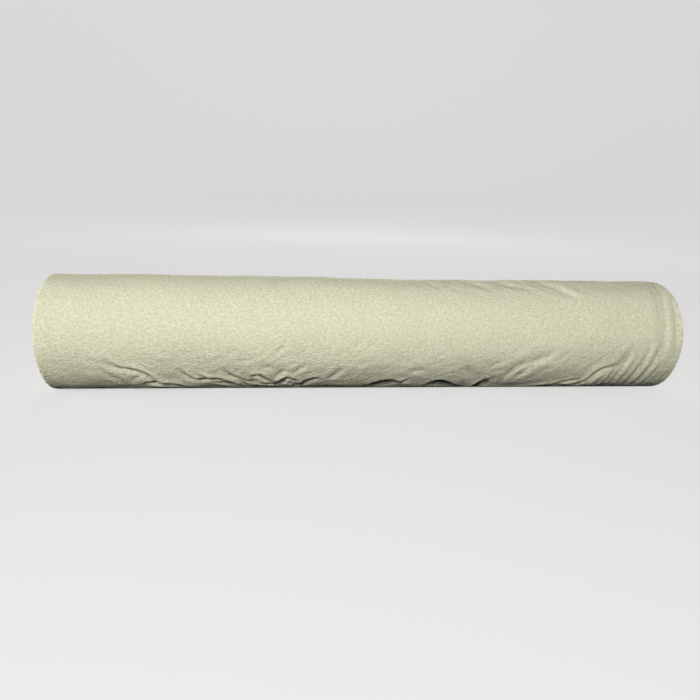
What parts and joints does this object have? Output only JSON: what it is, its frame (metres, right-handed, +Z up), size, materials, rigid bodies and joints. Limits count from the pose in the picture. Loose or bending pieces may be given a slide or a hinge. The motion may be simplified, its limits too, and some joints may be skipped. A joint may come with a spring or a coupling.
{
  "type": "roll of cotton batting",
  "caption": "Soft cylindrical roll of cream cotton batting lying on its side, with spiral ends, a loose end along the back and slack folds low on the front; quilt and upholstery filling.",
  "frame": {"origin": "middle of the bounding box's base, on the surface that the roll lies on, under the middle of the roll", "axes": "+X along the roll, towards the end with the fan of folds; -Y is the front, where the folds are; +Z is up"},
  "size_m": [1.2, 0.224, 0.215],
  "materials": {
    "batting": "matte natural cream needle-punched cotton, softly fuzzy, with fine dimples and a faint mottle"
  },
  "bodies": {
    "root": {"batting_roll": "batting"}
  },
  "joints": []
}
